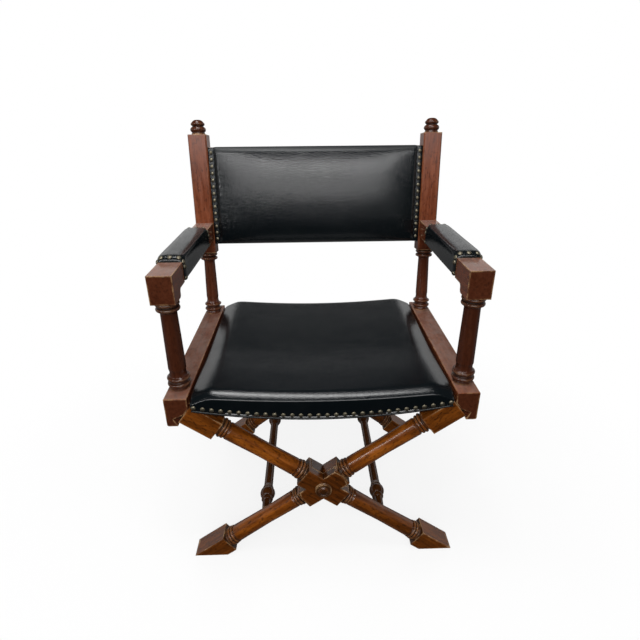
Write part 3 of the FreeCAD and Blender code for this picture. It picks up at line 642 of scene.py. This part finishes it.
def seat_ring(x):
    """Outline of the seat at one place across it: underside, front, top and rear."""
    soft = bpy.context.scene.chair_soft
    half = seat_high.x
    edge = half - abs(x)
    low = seat_underside(x)
    top = seat_high.z - soft.seat_dip * (1 - seat_sides(x)) - side_fall(edge)
    front = seat_low.y + FRONT_CORNER[0] * edge_fall(edge, FRONT_CORNER[1])
    rear = seat_high.y - REAR_CORNER[0] * edge_fall(edge, REAR_CORNER[1])
    half_turn = math.sqrt(0.5)
    drop = soft.seat_front_roll * (1 - half_turn) + soft.seat_front_turn * half_turn
    crest = top + soft.seat_crest
    shrink = min(1.0, (crest - low - 0.004) / drop)
    tight, slow = shrink * soft.seat_front_turn, shrink * soft.seat_front_roll
    shoulder = crest - shrink * drop
    back_roll = min(soft.seat_rear_roll, top - low - 0.006)
    ring = [(y, low) for y in np.linspace(rear - 0.004, front + 0.004, 26)]
    ring += [(front, z) for z in np.linspace(low + 0.003, shoulder - 0.001, 6)]
    ring += arc((front + tight, shoulder), tight, 180, 135, 6)[:-1]
    first, last = front + tight + (slow - tight) * half_turn, rear - back_roll
    ring += arc((first, crest - slow), slow, 135, 90, 10)
    for y in np.linspace(first, last, 34)[1:-1]:
        share = (y - first) / (last - first)
        crown = soft.seat_crest * (1 - ease(share - 0.02, CREST_TO)) + soft.seat_rear_rise * share ** 2
        ring.append((y, top + crown))
    top += soft.seat_rear_rise
    ring += arc((last, top - back_roll), back_roll, 90, 0, 8)
    ring += [(rear, z) for z in np.linspace(top - back_roll - 0.002, low + 0.003, 5)]
    return [(x, y, z) for y, z in ring]


def seat_stations():
    """Places across the seat, closer together near its sides."""
    half = seat_high.x - SIDE_GAP
    turns = np.linspace(-math.pi / 2, math.pi / 2, 61)
    return [half * (0.25 * math.sin(a) + 0.75 * a / (math.pi / 2)) for a in turns]


def clear_of_legs(points):
    """Raise the underside of the seat where the tops of the legs reach up to it."""
    y = points[:, 1]
    over = ((y > leg_front - 0.0004) & (y < leg_front + LEG_BAND)) | (y > leg_rear - LEG_BAND)
    line = crossing.z + np.abs(points[:, 0]) * math.tan(leg_tilt)
    line += LEG_HALF / math.cos(leg_tilt) + LEG_CLEAR
    raised = np.maximum(points[:, 2], line)
    points[:, 2] = np.where(over, raised, points[:, 2])


def seat_nail_places(inset):
    """Across a lower edge of the seat, from corner to corner."""
    soft = bpy.context.scene.chair_soft
    reach = seat_high.x - inset
    count = int(2 * reach / soft.nail_pitch) + 1
    return list(np.linspace(-reach, reach, count))


def nail_heads(name, places, material):
    """Domed nail heads in one mesh, from pairs of a place and the way that the nail faces."""
    soft = bpy.context.scene.chair_soft
    sides = NAIL_SIDES
    points, faces = [], []
    for place, way in places:
        turn = Vector(way).to_track_quat("Z", "Y").to_matrix()
        start = len(points)
        for share, lift in NAIL_PROFILE:
            for k in range(sides):
                a = 2 * math.pi * k / sides
                local = Vector((soft.nail_radius * share * math.cos(a),
                                soft.nail_radius * share * math.sin(a), soft.nail_height * lift))
                points.append(Vector(place) + turn @ local)
        tip = len(points)
        points.append(Vector(place) + turn @ Vector((0, 0, soft.nail_height)))
        for r in range(len(NAIL_PROFILE) - 1):
            for k in range(sides):
                a, b = start + r * sides + k, start + r * sides + (k + 1) % sides
                faces.append((a, b, b + sides, a + sides))
        last = start + (len(NAIL_PROFILE) - 1) * sides
        faces += [(last + k, last + (k + 1) % sides, tip) for k in range(sides)]
        faces.append(tuple(start + k for k in range(sides))[::-1])
    return new_piece(name, points, faces, material)


def tube(name, path, radius, material):
    """Round cord of leather along a path."""
    sides = 10
    rings = []
    for i, point in enumerate(path):
        along = (path[min(i + 1, len(path) - 1)] - path[max(i - 1, 0)]).normalized()
        across = along.cross(Vector((0, 1, 0))).normalized()
        other = along.cross(across)
        rings.append([point + radius * (math.cos(a) * across + math.sin(a) * other)
                      for a in np.linspace(0, 2 * math.pi, sides, endpoint=False)])
    return loft(name, rings, material)


def narrow(piece):
    """Gives the piece its own copy of its mesh."""
    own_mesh(piece)


class CHAIR_OT_wood(bpy.types.Operator):
    """Stain and varnish the wooden pieces, each with its own grain direction"""

    bl_idname = "chair.wood"
    bl_label = "Wood"

    def execute(self, context):
        finish = context.scene.chair_finish
        legs = (finish.leg_dark, finish.leg_mid, finish.leg_light)
        posts = (finish.post_dark, finish.post_mid, finish.post_light)
        hub = tuple(crossing)
        # painted shade: leg a gets a darker lower end than leg b, for the foot on the shaded right
        dress(["leg_front_a", "leg_rear_a"], wood("leg wood a", legs, GRAIN_LEG_A, hub, 0.36))
        dress(["leg_front_b", "leg_rear_b"], wood("leg wood b", legs, GRAIN_LEG_B, hub, 0.88))
        # stretchers, bosses, front posts and finials are darkened by a fixed share, partly their tone
        # and partly painted shade
        dress(both("stretcher"), wood("stretcher wood", legs, GRAIN_Y, tone_and_painted_shade=0.84))
        dress(["boss_front", "boss_rear"], wood("boss wood", legs, GRAIN_Y, tone_and_painted_shade=0.72))
        # rails, arms and battens get dust and painted sheen on their upper faces
        dress(both("rail", "arm", "seat_batten"), wood("rail wood", posts, GRAIN_Y, dusty=0.42))
        dress(both("front_post"), wood("front post wood", posts, GRAIN_UP, tone_and_painted_shade=0.76))
        # back posts and battens are painted darker below the underside of the arms, for shade
        arm_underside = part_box("arm_right")[0].z
        dress(both("back_post", "back_batten"),
              wood("back post wood", posts, GRAIN_RAKED, tone_and_painted_shade=0.50, painted_shade_below=arm_underside))
        dress(both("finial"), wood("finial wood", posts, GRAIN_RAKED, tone_and_painted_shade=0.74))
        return {"FINISHED"}


class CHAIR_OT_fittings(bpy.types.Operator):
    """Bronze nail heads on arms and back, and dull steel bolts, pins and screws"""

    bl_idname = "chair.fittings"
    bl_label = "Fittings"

    def execute(self, context):
        finish = context.scene.chair_finish
        bronze = metal("nail bronze", finish.nail, finish.nail_dark, 0.42)
        steel = metal("dull steel", (0.30, 0.29, 0.28, 1), (0.06, 0.045, 0.035, 1), 0.36)
        dress(both("back_nails"), bronze)
        dress(both("leg_pins", "batten_screws"), steel)
        dress(["pivot_bolt_front", "pivot_bolt_rear", "pivot_washers", "pivot_nuts"], steel)
        return {"FINISHED"}


class CHAIR_OT_seat(bpy.types.Operator):
    """Padded leather seat with its nails, welt and the sling that carries it"""

    bl_idname = "chair.seat"
    bl_label = "Seat"

    def execute(self, context):
        skin = leather("seat leather")
        bronze = bpy.data.materials["nail bronze"]
        half = seat_high.x
        pad = loft("seat_pad", [seat_ring(x) for x in seat_stations()], skin)

        def held(p):
            low = p[2] - seat_underside(p[0])
            return low < 0.014 or half - abs(p[0]) < 0.004

        def fade(p):
            inward = min(p[1] - seat_low.y, seat_high.y - p[1]) - 0.012
            return ease(inward, 0.050) * ease(half - abs(p[0]) - 0.020, 0.040)

        swell(pad, held, 0.003, fade)
        points = points_of(pad)
        self.dimple(points)
        clear_of_legs(points)
        points[:, 0] = np.clip(points[:, 0], -half, half)
        set_points(pad, points)
        refine(pad)
        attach(pad, "left_side")
        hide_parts("seat_cushion")
        narrow(pad)
        self.trim(half, bronze)
        self.sling(half)
        return {"FINISHED"}

    def dimple(self, points):
        """The cover is pulled in round each nail."""
        soft = bpy.context.scene.chair_soft
        for y, way, inset in ((seat_low.y, 1, FRONT_NAIL_IN), (seat_high.y, -1, REAR_NAIL_IN)):
            for x in seat_nail_places(inset):
                z = seat_underside(x) + NAIL_UP
                away = np.hypot(points[:, 0] - x, points[:, 2] - z)
                near = np.abs(points[:, 1] - y) < 0.006
                points[:, 1] += way * near * 0.0012 * np.exp(-(away / (1.2 * soft.nail_radius)) ** 2)

    def trim(self, half, bronze):
        edge = leather("welt leather", fade=0.3, scale=1.5, dull=0.2)
        radius = 0.0024
        for end, y, way, inset in (("front", seat_low.y, -1, FRONT_NAIL_IN),
                                   ("rear", seat_high.y, 1, REAR_NAIL_IN)):
            places = [((x, y - way * 0.0006, seat_underside(x) + NAIL_UP), (0, way, 0))
                      for x in seat_nail_places(inset)]
            heads = nail_heads(end + "_nails", places, bronze)
            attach(heads, "left_side")
            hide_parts("seat_nails_" + end)
            narrow(heads)
            reach = half - inset + 0.4 * FRONT_NAIL_IN
            path = [Vector((x, y - way * radius, seat_underside(x) - radius * 0.7))
                    for x in np.linspace(-reach, reach, 60)]
            welt = tube(end + "_welt", path, radius, edge)
            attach(welt, "left_side")
            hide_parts("seat_welt")
            narrow(welt)

    def sling(self, half):
        low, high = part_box("seat_sling")
        canvas = leather("sling leather", fade=1.4, scale=1.3, dull=0.25)
        across = np.linspace(-half + 0.002, half - 0.002, 41)
        along = np.linspace(low.y, high.y, 31)
        points = []
        for y in along:
            for x in across:
                ripple = 0.0008 * math.sin(95 * x + 2.0 * math.sin(11 * y))
                points.append((x, y, seat_underside(x) - 0.0022 - abs(ripple)))
        wide = len(across)
        faces = [(j * wide + i, j * wide + i + 1, (j + 1) * wide + i + 1, (j + 1) * wide + i)
                 for j in range(len(along) - 1) for i in range(wide - 1)]
        sheet = new_piece("seat_sling_sheet", points, faces, canvas)
        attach(sheet, "left_side")
        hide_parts("seat_sling")
        narrow(sheet)


class CHAIR_OT_back(bpy.types.Operator):
    """Padded leather back with a nailed strip along each post and a lining behind"""

    bl_idname = "chair.back"
    bl_label = "Back"

    def execute(self, context):
        skin = leather("back leather", scale=0.42, dry_above=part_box("back_cushion")[1].z, grain=0.40)
        half = back_half - strip_width
        stations = [half * math.sin(a) for a in np.linspace(-math.pi / 2, math.pi / 2, 61)]
        pad = loft("back_pad", [self.ring(x, half) for x in stations], skin)

        def held(p):
            return p[1] > strip_face - 0.002

        swell(pad, held, 0.004)
        points = points_of(pad)
        behind = points[:, 1] > strip_face + 0.002
        limit = np.where(behind, core_half, half + 0.001)
        points[:, 0] = np.clip(points[:, 0], -limit, limit)
        self.pucker(points, half)
        set_points(pad, points)
        refine(pad)
        self.set_up(pad)
        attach(pad, "left_side")
        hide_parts("back_cushion")
        narrow(pad)
        self.strips(half)
        self.lining()
        return {"FINISHED"}

    def ring(self, x, half):
        """Outline of the back at one place across it, front edge first, in the posts' frame."""
        soft = bpy.context.scene.chair_soft
        side = 1 - edge_fall(half - abs(x), BACK_SIDE_ROUND)
        across = 1 - 0.8 * (x / half) ** 4
        ring = []
        for a in np.linspace(-math.pi / 2, math.pi / 2, 49):
            share = 0.35 * math.sin(a) + 0.65 * a / (math.pi / 2)
            edge = 1 - edge_fall((1 - abs(share)) * back_tall / 2, BACK_END_ROUND)
            up = (1 + share) / 2
            crown = (up / BULGE_AT) ** (BULGE_AT / (1 - BULGE_AT)) * (1 - up) / (1 - BULGE_AT)
            crown = crown ** CROWN_ROUND
            proud = (soft.back_edge * edge + soft.back_crown * across * crown) * side
            ring.append((x, strip_face - proud, back_tall / 2 * (1 + share)))
        top, low = back_tall, 0.0
        for t in np.linspace(0.2, 0.85, 5):
            y = strip_face + t * (pad_rear - strip_face)
            ring.append((x, y, top + 0.001 * math.sin(math.pi * t)))
        ring += [(x, pad_rear, z) for z in np.linspace(top - 0.003, low + 0.003, 34)]
        ring += [(x, y, low) for y in np.linspace(pad_rear - 0.003, strip_face + 0.004, 5)]
        return ring

    def pucker(self, points, half):
        """Small gathers that run in from each nailed edge."""
        away = half - np.abs(points[:, 0])
        front = points[:, 1] < strip_face - 0.003
        wave = np.cos(2 * math.pi * points[:, 2] / BACK_NAIL_PITCH)
        points[:, 1] += front * 0.0007 * wave * np.exp(-np.maximum(away, 0) / 0.012)

    def set_up(self, piece):
        piece.data.transform(Matrix.Translation((0, 0, back_up)))
        piece.data.transform(lean)

    def strips(self, inner):
        skin = leather("strip leather", fade=0.5, scale=1.4)
        for side, body in ((-1, "left_side"), (1, "right_side")):
            rings = []
            for share in np.linspace(0, 1, 60):
                z = back_tall * (0.002 + 0.996 * share)
                lift = 0.0005 * math.cos(2 * math.pi * z / BACK_NAIL_PITCH)
                outline = [(inner - 0.002, strip_face - 0.0002), (inner + 0.002, strip_face - 0.0012),
                           (inner + strip_width * 0.5, strip_face - 0.0004 - lift),
                           (back_half - 0.002, strip_face - 0.0010), (back_half, strip_face + 0.0005),
                           (back_half, strip_face + 0.003), (inner - 0.002, strip_face + 0.003)]
                rings.append([(side * x, y, z) for x, y in outline[::side]])
            strip = loft("nail_strip_left" if side < 0 else "nail_strip_right", rings, skin)
            self.set_up(strip)
            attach(strip, body)

    def lining(self):
        cloth = leather("lining leather", fade=1.2, scale=1.2, dull=0.22)
        wide, tall = 44, 24
        half = core_half - 0.001
        points = []
        for v in np.linspace(0, 1, tall):
            for u in np.linspace(-1, 1, wide):
                swag = 0.0015 * (1 - u * u) * (1 - (2 * v - 1) ** 2)
                points.append((half * u, pad_rear + 0.0012 + swag, back_tall * (0.004 + 0.992 * v)))
        faces = [(j * wide + i, j * wide + i + 1, (j + 1) * wide + i + 1, (j + 1) * wide + i)
                 for j in range(tall - 1) for i in range(wide - 1)]
        sheet = new_piece("back_lining_sheet", points, faces, cloth)
        self.set_up(sheet)
        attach(sheet, "left_side")
        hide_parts("back_lining")
        narrow(sheet)


class CHAIR_OT_arm_pads(bpy.types.Operator):
    """Plump leather pads round the cores of both arms, nailed at their ends"""

    bl_idname = "chair.arm_pads"
    bl_label = "Arm pads"

    def execute(self, context):
        skin = leather("arm leather", scale=1.1)
        bronze = bpy.data.materials["nail bronze"]
        turns = np.linspace(0, 2 * math.pi, 72, endpoint=False)
        for side, body, name in ((-1, "left_side", "left"), (1, "right_side", "right")):
            rings = [[self.skin(side, y, a) for a in turns[::side]] for y in self.stations()]
            pad = loft("arm_cover_" + name, rings, skin)

            def held(p):
                end = min(p[1] - pad_low.y, pad_high.y - p[1])
                return end < 0.010 or p[2] < pad_low.z + 0.004

            swell(pad, held, 0.0012)
            points = points_of(pad)
            points[:, 1] = np.clip(points[:, 1], pad_low.y, pad_high.y)
            set_points(pad, points)
            refine(pad)
            heads = nail_heads("arm_nail_heads_" + name, self.nail_places(side), bronze)
            for piece, node, slot in ((pad, "arm_pad_", "leather"), (heads, "arm_nails_", "nail_brass")):
                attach(piece, body)
                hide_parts(node + name)
        return {"FINISHED"}

    def stations(self):
        ends = np.array([0.0, 0.0006, 0.0015, 0.003, 0.005, 0.008, 0.012, 0.017, 0.022])
        inner = np.linspace(pad_low.y + 0.028, pad_high.y - 0.028, 30)
        return np.concatenate([pad_low.y + ends, inner, pad_high.y - ends[::-1]])

    def skin(self, side, y, turn):
        """A point of a pad's skin: a rounded box that is fuller between its nailed ends."""
        soft = bpy.context.scene.chair_soft
        end = min(y - pad_low.y, pad_high.y - y)
        full = 1 - edge_fall(end, soft.arm_end)
        middle = (pad_low.x + pad_high.x) / 2 + soft.arm_lean * full
        half = (pad_high.x - pad_low.x) / 2 - 0.0012 + soft.arm_full * full
        top = pad_high.z - 0.0036 + soft.arm_rise * full
        waist = pad_low.z + ARM_WAIST * (pad_high.z - pad_low.z)
        if math.sin(turn) > 0:
            high, square = top - waist, soft.arm_square
        else:
            high, square = waist - pad_low.z, 1.6 * soft.arm_square
        x = half * math.copysign(abs(math.cos(turn)) ** square, math.cos(turn))
        z = high * math.copysign(abs(math.sin(turn)) ** square, math.sin(turn))
        return Vector((side * (middle + x), y, waist + z))

    def nail_places(self, side):
        """Three nails over the top and three on each side, at both ends of a pad."""
        places = []
        for y, lean_out in ((pad_low.y + ARM_NAIL_IN, -1), (pad_high.y - ARM_NAIL_IN, 1)):
            for turn in ARM_NAIL_TURNS:
                angle = math.pi * turn
                around = self.skin(side, y, angle + 0.02) - self.skin(side, y, angle - 0.02)
                way = Vector((-around.z, 0, around.x)).normalized()
                out = self.skin(side, y, angle) - Vector((side * (pad_low.x + pad_high.x) / 2, y,
                                                         (pad_low.z + pad_high.z) / 2))
                if way.dot(out) < 0:
                    way = -way
                way.y = 0.35 * lean_out
                places.append((self.skin(side, y, angle) - 0.0004 * way, way))
        return places


class CHAIR_OT_stage(bpy.types.Operator):
    """Pale floor, soft studio light and the camera"""

    bl_idname = "chair.stage"
    bl_label = "Stage"

    def execute(self, context):
        scene = context.scene
        scene.view_settings.view_transform = "Standard"
        self.backdrop(scene)
        self.floor()
        stage = scene.chair_stage
        for name, (place, aim, size) in LAMPS.items():
            lamp = self.softbox(name + " light", place, aim, size, getattr(stage, name + "_power"))
            lamp.visible_glossy = name != "rear"
        self.camera(scene)
        return {"FINISHED"}

    def seen(self, shade):
        """1 for what the camera sees, by itself or in a reflection or through glass."""
        path = shade.add("LightPath").outputs
        seen = shade.calc("MAXIMUM", path["Is Camera Ray"], path["Is Glossy Ray"])
        return shade.calc("MAXIMUM", seen, path["Is Transmission Ray"])

    def backdrop(self, scene):
        """White all round for the camera, and in reflections dimmer overhead and in front."""
        world = bpy.data.worlds.new("studio")
        scene.world = world
        shade = Shade(world)
        way = shade.add("SeparateXYZ", Vector=shade.add("TexCoord").outputs["Generated"])
        behind = shade.span(way.outputs[1], -0.75, 0.0, 0.04, 1.0)
        height = shade.calc("MULTIPLY_ADD", way.outputs[2], 0.5, 0.5)
        above = shade.ramp(height, REFLECTED)
        direct = shade.add("LightPath").outputs["Is Camera Ray"]
        level = shade.calc("MAXIMUM", shade.calc("MULTIPLY", behind, above), direct)
        fill = scene.chair_stage.fill
        strength = shade.add("Mix", {"data_type": "FLOAT"})
        shade.put(strength.inputs[0], self.seen(shade))
        shade.put(strength.inputs[2], fill)
        shade.put(strength.inputs[3], level)
        light = shade.add("Background", Strength=strength.outputs[0])
        light.inputs["Color"].default_value = (1, 1, 1, 1)
        out = shade.add("OutputWorld")
        shade.put(out.inputs["Surface"], light.outputs[0])

    def floor(self):
        size = 30.0
        corners = [(-size, -size, 0), (size, -size, 0), (size, size, 0), (-size, size, 0)]
        material = bpy.data.materials.new("pale floor")
        floor = new_piece("floor", corners, [(0, 1, 2, 3)], material)
        shade = Shade(material)
        matt = shade.add("BsdfDiffuse")
        matt.inputs["Color"].default_value = (0.86, 0.86, 0.86, 1)
        clear = shade.add("BsdfTransparent")
        away = shade.add("VectorMath", {"operation": "LENGTH"})
        shade.put(away.inputs[0], shade.place())
        direct = shade.add("LightPath").outputs["Is Camera Ray"]
        share = shade.add("MixShader")
        shade.put(share.inputs[0], shade.calc("MULTIPLY", direct,
                                              shade.span(away.outputs["Value"], 0.25, 1.1, 0.16, 0.0)))
        shade.put(share.inputs[1], clear.outputs[0])
        shade.put(share.inputs[2], matt.outputs[0])
        out = shade.add("OutputMaterial")
        shade.put(out.inputs["Surface"], share.outputs[0])

    def softbox(self, name, place, aim, size, power):
        light = bpy.data.lights.new(name, "AREA")
        light.shape = "RECTANGLE"
        light.size, light.size_y = size
        light.energy = power
        lamp = bpy.data.objects.new(name, light)
        bpy.context.scene.collection.objects.link(lamp)
        lamp.location = place
        lamp.rotation_euler = (Vector(aim) - Vector(place)).to_track_quat("-Z", "Y").to_euler()
        return lamp

    def camera(self, scene):
        stage = scene.chair_stage
        lens = bpy.data.cameras.new("camera")
        lens.sensor_width = 36.0
        lens.lens = stage.lens
        lens.clip_start = 0.01
        eye = bpy.data.objects.new("camera", lens)
        scene.collection.objects.link(eye)
        up = Vector((0, 0, 1))
        right = Vector((math.cos(stage.yaw), math.sin(stage.yaw), 0))
        level = Vector((-math.sin(stage.yaw), math.cos(stage.yaw), 0))
        ahead = level * math.cos(stage.pitch) - up * math.sin(stage.pitch)
        down = -(level * math.sin(stage.pitch) + up * math.cos(stage.pitch))
        across = right * math.cos(stage.roll) + down * math.sin(stage.roll)
        below = down * math.cos(stage.roll) - right * math.sin(stage.roll)
        turn = Matrix((across, -below, -ahead)).transposed().to_4x4()
        eye.matrix_world = Matrix.Translation(stage.camera_place) @ turn
        scene.camera = eye


class VIEW3D_PT_chair(bpy.types.Panel):
    """Steps that dress the chair"""

    bl_label = "Directors chair"
    bl_idname = "VIEW3D_PT_chair"
    bl_space_type = "VIEW_3D"
    bl_region_type = "UI"
    bl_category = "Chair"

    def draw(self, context):
        for step in steps:
            self.layout.operator(step.bl_idname)


steps = (CHAIR_OT_stage, CHAIR_OT_wood, CHAIR_OT_fittings, CHAIR_OT_seat, CHAIR_OT_back,
         CHAIR_OT_arm_pads)
groups = {"chair_finish": ChairFinish, "chair_soft": ChairSoft, "chair_stage": ChairStage}


def register():
    for kind in (*groups.values(), *steps, VIEW3D_PT_chair):
        bpy.utils.register_class(kind)
    for name, kind in groups.items():
        setattr(bpy.types.Scene, name, bpy.props.PointerProperty(type=kind))


def unregister():
    for name in groups:
        delattr(bpy.types.Scene, name)
    for kind in (VIEW3D_PT_chair, *steps[::-1], *groups.values()):
        bpy.utils.unregister_class(kind)


def main():
    register()
    bpy.ops.chair.stage()
    bpy.ops.chair.wood()
    bpy.ops.chair.fittings()
    bpy.ops.chair.seat()
    bpy.ops.chair.back()
    bpy.ops.chair.arm_pads()


if __name__ == "__main__":
    main()
